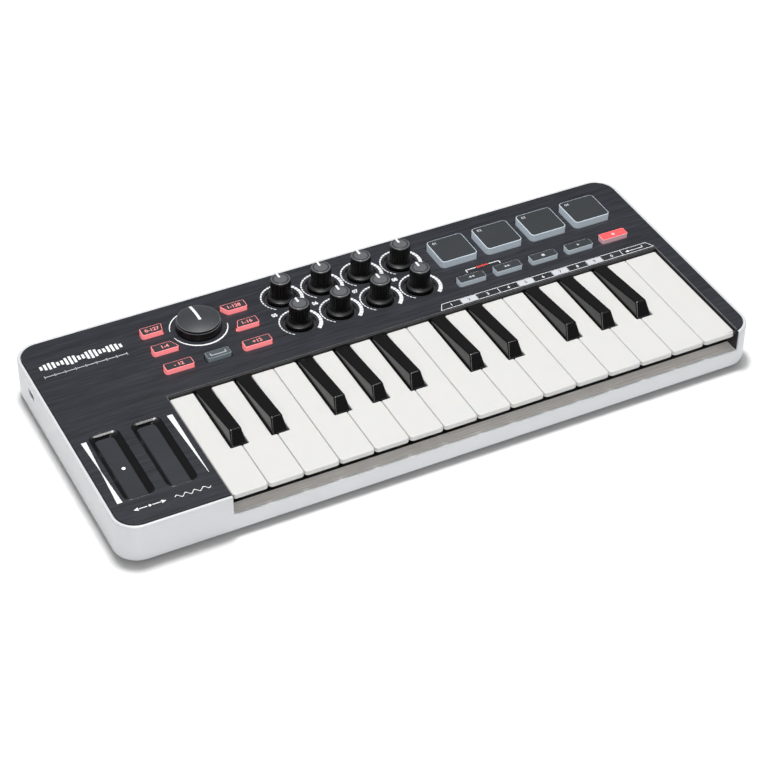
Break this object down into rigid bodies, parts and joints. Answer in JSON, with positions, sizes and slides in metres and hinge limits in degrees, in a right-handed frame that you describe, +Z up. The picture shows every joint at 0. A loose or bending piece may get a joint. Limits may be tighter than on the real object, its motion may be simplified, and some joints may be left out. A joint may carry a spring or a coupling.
{
  "type": "midi keyboard",
  "caption": "Slim desktop MIDI keyboard controller with mini keys, touch strips, knobs, buttons and drum pads in a silver housing with a dark brushed panel.",
  "frame": {"origin": "centre of the footprint, on the surface that the feet rest on", "axes": "+X to the player's right along the keys, +Y away from the player, +Z up"},
  "size_m": [0.3284, 0.1416, 0.0346],
  "materials": {
    "silver_plastic": "satin silver paint",
    "brushed_panel": "fine brushed, dark grey",
    "dark_plastic": "moulded matte",
    "brushed_trim": "brushed, warm grey",
    "touch_strip": "smooth satin",
    "circuit_board": "solder mask",
    "contact_rubber": "matte",
    "socket_metal": "tinned",
    "white_key": "semi gloss",
    "black_key": "gloss",
    "knob": "fluted, matte",
    "data_knob": "satin",
    "lit_red_cap": "translucent with a dark printed top",
    "blue_grey_cap": "translucent with a dark top",
    "record_cap": "translucent red"
  },
  "bodies": {
    "base": {"housing": "silver_plastic", "top_panel": "brushed_panel", "bottom_cover": "dark_plastic", "key_chassis": "dark_plastic", "front_trim_strip": "brushed_trim", "touch_strip_plate": "touch_strip", "control_board": "circuit_board", "key_contact_board": "circuit_board", "key_contact_strip": "contact_rubber", "usb_socket": "socket_metal"},
    "white_key_01": {"white_key_01": "white_key"},
    "white_key_02": {"white_key_02": "white_key"},
    "white_key_03": {"white_key_03": "white_key"},
    "white_key_04": {"white_key_04": "white_key"},
    "white_key_05": {"white_key_05": "white_key"},
    "white_key_06": {"white_key_06": "white_key"},
    "white_key_07": {"white_key_07": "white_key"},
    "white_key_08": {"white_key_08": "white_key"},
    "white_key_09": {"white_key_09": "white_key"},
    "white_key_10": {"white_key_10": "white_key"},
    "white_key_11": {"white_key_11": "white_key"},
    "white_key_12": {"white_key_12": "white_key"},
    "white_key_13": {"white_key_13": "white_key"},
    "white_key_14": {"white_key_14": "white_key"},
    "white_key_15": {"white_key_15": "white_key"},
    "black_key_01": {"black_key_01": "black_key"},
    "black_key_02": {"black_key_02": "black_key"},
    "black_key_03": {"black_key_03": "black_key"},
    "black_key_04": {"black_key_04": "black_key"},
    "black_key_05": {"black_key_05": "black_key"},
    "black_key_06": {"black_key_06": "black_key"},
    "black_key_07": {"black_key_07": "black_key"},
    "black_key_08": {"black_key_08": "black_key"},
    "black_key_09": {"black_key_09": "black_key"},
    "black_key_10": {"black_key_10": "black_key"},
    "data_knob": {"data_knob": "data_knob"},
    "control_knob_1": {"control_knob_1": "knob"},
    "control_knob_2": {"control_knob_2": "knob"},
    "control_knob_3": {"control_knob_3": "knob"},
    "control_knob_4": {"control_knob_4": "knob"},
    "control_knob_5": {"control_knob_5": "knob"},
    "control_knob_6": {"control_knob_6": "knob"},
    "control_knob_7": {"control_knob_7": "knob"},
    "control_knob_8": {"control_knob_8": "knob"},
    "control_button": {"control_button": "lit_red_cap"},
    "pad_bank_button": {"pad_bank_button": "lit_red_cap"},
    "program_button": {"program_button": "lit_red_cap"},
    "preset_button": {"preset_button": "lit_red_cap"},
    "octave_down_button": {"octave_down_button": "lit_red_cap"},
    "sustain_button": {"sustain_button": "blue_grey_cap"},
    "octave_up_button": {"octave_up_button": "lit_red_cap"},
    "rewind_button": {"rewind_button": "blue_grey_cap"},
    "forward_button": {"forward_button": "blue_grey_cap"},
    "stop_button": {"stop_button": "blue_grey_cap"},
    "play_button": {"play_button": "blue_grey_cap"},
    "record_button": {"record_button": "record_cap"},
    "drum_pad_1": {"drum_pad_1": "blue_grey_cap"},
    "drum_pad_2": {"drum_pad_2": "blue_grey_cap"},
    "drum_pad_3": {"drum_pad_3": "blue_grey_cap"},
    "drum_pad_4": {"drum_pad_4": "blue_grey_cap"}
  },
  "joints": [
    {"name": "white_key_01_press", "type": "hinge", "parent": "base", "child": "white_key_01", "pos_m": [-0.10405, 0.0214, 0.01], "axis": [1, 0, 0], "range_deg": [0, 3.8], "stiffness_Nm_per_rad": 0.3, "springref_deg": -5.73},
    {"name": "white_key_02_press", "type": "hinge", "parent": "base", "child": "white_key_02", "pos_m": [-0.0835, 0.0214, 0.01], "axis": [1, 0, 0], "range_deg": [0, 3.8], "stiffness_Nm_per_rad": 0.3, "springref_deg": -5.73},
    {"name": "black_key_01_press", "type": "hinge", "parent": "base", "child": "black_key_01", "pos_m": [-0.0937, 0.0214, 0.01], "axis": [1, 0, 0], "range_deg": [0, 3.8], "stiffness_Nm_per_rad": 0.3, "springref_deg": -5.73},
    {"name": "data_knob_turn", "type": "hinge", "parent": "base", "child": "data_knob", "pos_m": [-0.0773, 0.0466, 0.023], "axis": [0, 0, 1], "continuous": true},
    {"name": "control_knob_1_turn", "type": "hinge", "parent": "base", "child": "control_knob_1", "pos_m": [-0.0321, 0.0289, 0.023], "axis": [0, 0, 1], "range_deg": [-140, 140]},
    {"name": "drum_pad_1_press", "type": "slide", "parent": "base", "child": "drum_pad_1", "axis": [0, 0, -1], "range_m": [0, 0.001], "stiffness_N_per_m": 600, "springref_m": -0.002},
    {"name": "control_button_press", "type": "slide", "parent": "base", "child": "control_button", "axis": [0, 0, -1], "range_m": [0, 0.0008], "stiffness_N_per_m": 400, "springref_m": -0.002},
    {"name": "record_button_press", "type": "slide", "parent": "base", "child": "record_button", "axis": [0, 0, -1], "range_m": [0, 0.0008], "stiffness_N_per_m": 400, "springref_m": -0.002},
    {"name": "drum_pad_2_press", "type": "slide", "parent": "base", "child": "drum_pad_2", "axis": [0, 0, -1], "range_m": [0, 0.001], "stiffness_N_per_m": 600, "springref_m": -0.002},
    {"name": "drum_pad_3_press", "type": "slide", "parent": "base", "child": "drum_pad_3", "axis": [0, 0, -1], "range_m": [0, 0.001], "stiffness_N_per_m": 600, "springref_m": -0.002},
    {"name": "drum_pad_4_press", "type": "slide", "parent": "base", "child": "drum_pad_4", "axis": [0, 0, -1], "range_m": [0, 0.001], "stiffness_N_per_m": 600, "springref_m": -0.002},
    {"name": "pad_bank_button_press", "type": "slide", "parent": "base", "child": "pad_bank_button", "axis": [0, 0, -1], "range_m": [0, 0.0008], "stiffness_N_per_m": 400, "springref_m": -0.002},
    {"name": "program_button_press", "type": "slide", "parent": "base", "child": "program_button", "axis": [0, 0, -1], "range_m": [0, 0.0008], "stiffness_N_per_m": 400, "springref_m": -0.002},
    {"name": "preset_button_press", "type": "slide", "parent": "base", "child": "preset_button", "axis": [0, 0, -1], "range_m": [0, 0.0008], "stiffness_N_per_m": 400, "springref_m": -0.002},
    {"name": "octave_down_button_press", "type": "slide", "parent": "base", "child": "octave_down_button", "axis": [0, 0, -1], "range_m": [0, 0.0008], "stiffness_N_per_m": 400, "springref_m": -0.002},
    {"name": "sustain_button_press", "type": "slide", "parent": "base", "child": "sustain_button", "axis": [0, 0, -1], "range_m": [0, 0.0008], "stiffness_N_per_m": 400, "springref_m": -0.002},
    {"name": "octave_up_button_press", "type": "slide", "parent": "base", "child": "octave_up_button", "axis": [0, 0, -1], "range_m": [0, 0.0008], "stiffness_N_per_m": 400, "springref_m": -0.002},
    {"name": "rewind_button_press", "type": "slide", "parent": "base", "child": "rewind_button", "axis": [0, 0, -1], "range_m": [0, 0.0008], "stiffness_N_per_m": 400, "springref_m": -0.002},
    {"name": "forward_button_press", "type": "slide", "parent": "base", "child": "forward_button", "axis": [0, 0, -1], "range_m": [0, 0.0008], "stiffness_N_per_m": 400, "springref_m": -0.002},
    {"name": "stop_button_press", "type": "slide", "parent": "base", "child": "stop_button", "axis": [0, 0, -1], "range_m": [0, 0.0008], "stiffness_N_per_m": 400, "springref_m": -0.002},
    {"name": "play_button_press", "type": "slide", "parent": "base", "child": "play_button", "axis": [0, 0, -1], "range_m": [0, 0.0008], "stiffness_N_per_m": 400, "springref_m": -0.002},
    {"name": "control_knob_2_turn", "type": "hinge", "parent": "base", "child": "control_knob_2", "pos_m": [-0.0104, 0.0289, 0.023], "axis": [0, 0, 1], "range_deg": [-140, 140]},
    {"name": "control_knob_3_turn", "type": "hinge", "parent": "base", "child": "control_knob_3", "pos_m": [0.0113, 0.0289, 0.023], "axis": [0, 0, 1], "range_deg": [-140, 140]},
    {"name": "control_knob_4_turn", "type": "hinge", "parent": "base", "child": "control_knob_4", "pos_m": [0.033, 0.0289, 0.023], "axis": [0, 0, 1], "range_deg": [-140, 140]},
    {"name": "control_knob_5_turn", "type": "hinge", "parent": "base", "child": "control_knob_5", "pos_m": [-0.0321, 0.0504, 0.023], "axis": [0, 0, 1], "range_deg": [-140, 140]},
    {"name": "control_knob_6_turn", "type": "hinge", "parent": "base", "child": "control_knob_6", "pos_m": [-0.0104, 0.0504, 0.023], "axis": [0, 0, 1], "range_deg": [-140, 140]},
    {"name": "control_knob_7_turn", "type": "hinge", "parent": "base", "child": "control_knob_7", "pos_m": [0.0113, 0.0504, 0.023], "axis": [0, 0, 1], "range_deg": [-140, 140]},
    {"name": "control_knob_8_turn", "type": "hinge", "parent": "base", "child": "control_knob_8", "pos_m": [0.033, 0.0504, 0.023], "axis": [0, 0, 1], "range_deg": [-140, 140]},
    {"name": "black_key_02_press", "type": "hinge", "parent": "base", "child": "black_key_02", "pos_m": [-0.0733, 0.0214, 0.01], "axis": [1, 0, 0], "range_deg": [0, 3.8], "stiffness_Nm_per_rad": 0.3, "springref_deg": -5.73},
    {"name": "black_key_03_press", "type": "hinge", "parent": "base", "child": "black_key_03", "pos_m": [-0.0415, 0.0214, 0.01], "axis": [1, 0, 0], "range_deg": [0, 3.8], "stiffness_Nm_per_rad": 0.3, "springref_deg": -5.73},
    {"name": "black_key_04_press", "type": "hinge", "parent": "base", "child": "black_key_04", "pos_m": [-0.0219, 0.0214, 0.01], "axis": [1, 0, 0], "range_deg": [0, 3.8], "stiffness_Nm_per_rad": 0.3, "springref_deg": -5.73},
    {"name": "black_key_05_press", "type": "hinge", "parent": "base", "child": "black_key_05", "pos_m": [-0.0022, 0.0214, 0.01], "axis": [1, 0, 0], "range_deg": [0, 3.8], "stiffness_Nm_per_rad": 0.3, "springref_deg": -5.73},
    {"name": "black_key_06_press", "type": "hinge", "parent": "base", "child": "black_key_06", "pos_m": [0.0295, 0.0214, 0.01], "axis": [1, 0, 0], "range_deg": [0, 3.8], "stiffness_Nm_per_rad": 0.3, "springref_deg": -5.73},
    {"name": "black_key_07_press", "type": "hinge", "parent": "base", "child": "black_key_07", "pos_m": [0.0499, 0.0214, 0.01], "axis": [1, 0, 0], "range_deg": [0, 3.8], "stiffness_Nm_per_rad": 0.3, "springref_deg": -5.73},
    {"name": "black_key_08_press", "type": "hinge", "parent": "base", "child": "black_key_08", "pos_m": [0.0817, 0.0214, 0.01], "axis": [1, 0, 0], "range_deg": [0, 3.8], "stiffness_Nm_per_rad": 0.3, "springref_deg": -5.73},
    {"name": "black_key_09_press", "type": "hinge", "parent": "base", "child": "black_key_09", "pos_m": [0.1013, 0.0214, 0.01], "axis": [1, 0, 0], "range_deg": [0, 3.8], "stiffness_Nm_per_rad": 0.3, "springref_deg": -5.73},
    {"name": "black_key_10_press", "type": "hinge", "parent": "base", "child": "black_key_10", "pos_m": [0.121, 0.0214, 0.01], "axis": [1, 0, 0], "range_deg": [0, 3.8], "stiffness_Nm_per_rad": 0.3, "springref_deg": -5.73},
    {"name": "white_key_03_press", "type": "hinge", "parent": "base", "child": "white_key_03", "pos_m": [-0.06325, 0.0214, 0.01], "axis": [1, 0, 0], "range_deg": [0, 3.8], "stiffness_Nm_per_rad": 0.3, "springref_deg": -5.73},
    {"name": "white_key_04_press", "type": "hinge", "parent": "base", "child": "white_key_04", "pos_m": [-0.05155, 0.0214, 0.01], "axis": [1, 0, 0], "range_deg": [0, 3.8], "stiffness_Nm_per_rad": 0.3, "springref_deg": -5.73},
    {"name": "white_key_05_press", "type": "hinge", "parent": "base", "child": "white_key_05", "pos_m": [-0.0317, 0.0214, 0.01], "axis": [1, 0, 0], "range_deg": [0, 3.8], "stiffness_Nm_per_rad": 0.3, "springref_deg": -5.73},
    {"name": "white_key_06_press", "type": "hinge", "parent": "base", "child": "white_key_06", "pos_m": [-0.01205, 0.0214, 0.01], "axis": [1, 0, 0], "range_deg": [0, 3.8], "stiffness_Nm_per_rad": 0.3, "springref_deg": -5.73},
    {"name": "white_key_07_press", "type": "hinge", "parent": "base", "child": "white_key_07", "pos_m": [0.0075, 0.0214, 0.01], "axis": [1, 0, 0], "range_deg": [0, 3.8], "stiffness_Nm_per_rad": 0.3, "springref_deg": -5.73},
    {"name": "white_key_08_press", "type": "hinge", "parent": "base", "child": "white_key_08", "pos_m": [0.01915, 0.0214, 0.01], "axis": [1, 0, 0], "range_deg": [0, 3.8], "stiffness_Nm_per_rad": 0.3, "springref_deg": -5.73},
    {"name": "white_key_09_press", "type": "hinge", "parent": "base", "child": "white_key_09", "pos_m": [0.0397, 0.0214, 0.01], "axis": [1, 0, 0], "range_deg": [0, 3.8], "stiffness_Nm_per_rad": 0.3, "springref_deg": -5.73},
    {"name": "white_key_10_press", "type": "hinge", "parent": "base", "child": "white_key_10", "pos_m": [0.05995, 0.0214, 0.01], "axis": [1, 0, 0], "range_deg": [0, 3.8], "stiffness_Nm_per_rad": 0.3, "springref_deg": -5.73},
    {"name": "white_key_11_press", "type": "hinge", "parent": "base", "child": "white_key_11", "pos_m": [0.07165, 0.0214, 0.01], "axis": [1, 0, 0], "range_deg": [0, 3.8], "stiffness_Nm_per_rad": 0.3, "springref_deg": -5.73},
    {"name": "white_key_12_press", "type": "hinge", "parent": "base", "child": "white_key_12", "pos_m": [0.0915, 0.0214, 0.01], "axis": [1, 0, 0], "range_deg": [0, 3.8], "stiffness_Nm_per_rad": 0.3, "springref_deg": -5.73},
    {"name": "white_key_13_press", "type": "hinge", "parent": "base", "child": "white_key_13", "pos_m": [0.11115, 0.0214, 0.01], "axis": [1, 0, 0], "range_deg": [0, 3.8], "stiffness_Nm_per_rad": 0.3, "springref_deg": -5.73},
    {"name": "white_key_14_press", "type": "hinge", "parent": "base", "child": "white_key_14", "pos_m": [0.1307, 0.0214, 0.01], "axis": [1, 0, 0], "range_deg": [0, 3.8], "stiffness_Nm_per_rad": 0.3, "springref_deg": -5.73},
    {"name": "white_key_15_press", "type": "hinge", "parent": "base", "child": "white_key_15", "pos_m": [0.145, 0.0214, 0.01], "axis": [1, 0, 0], "range_deg": [0, 3.8], "stiffness_Nm_per_rad": 0.3, "springref_deg": -5.73}
  ]
}
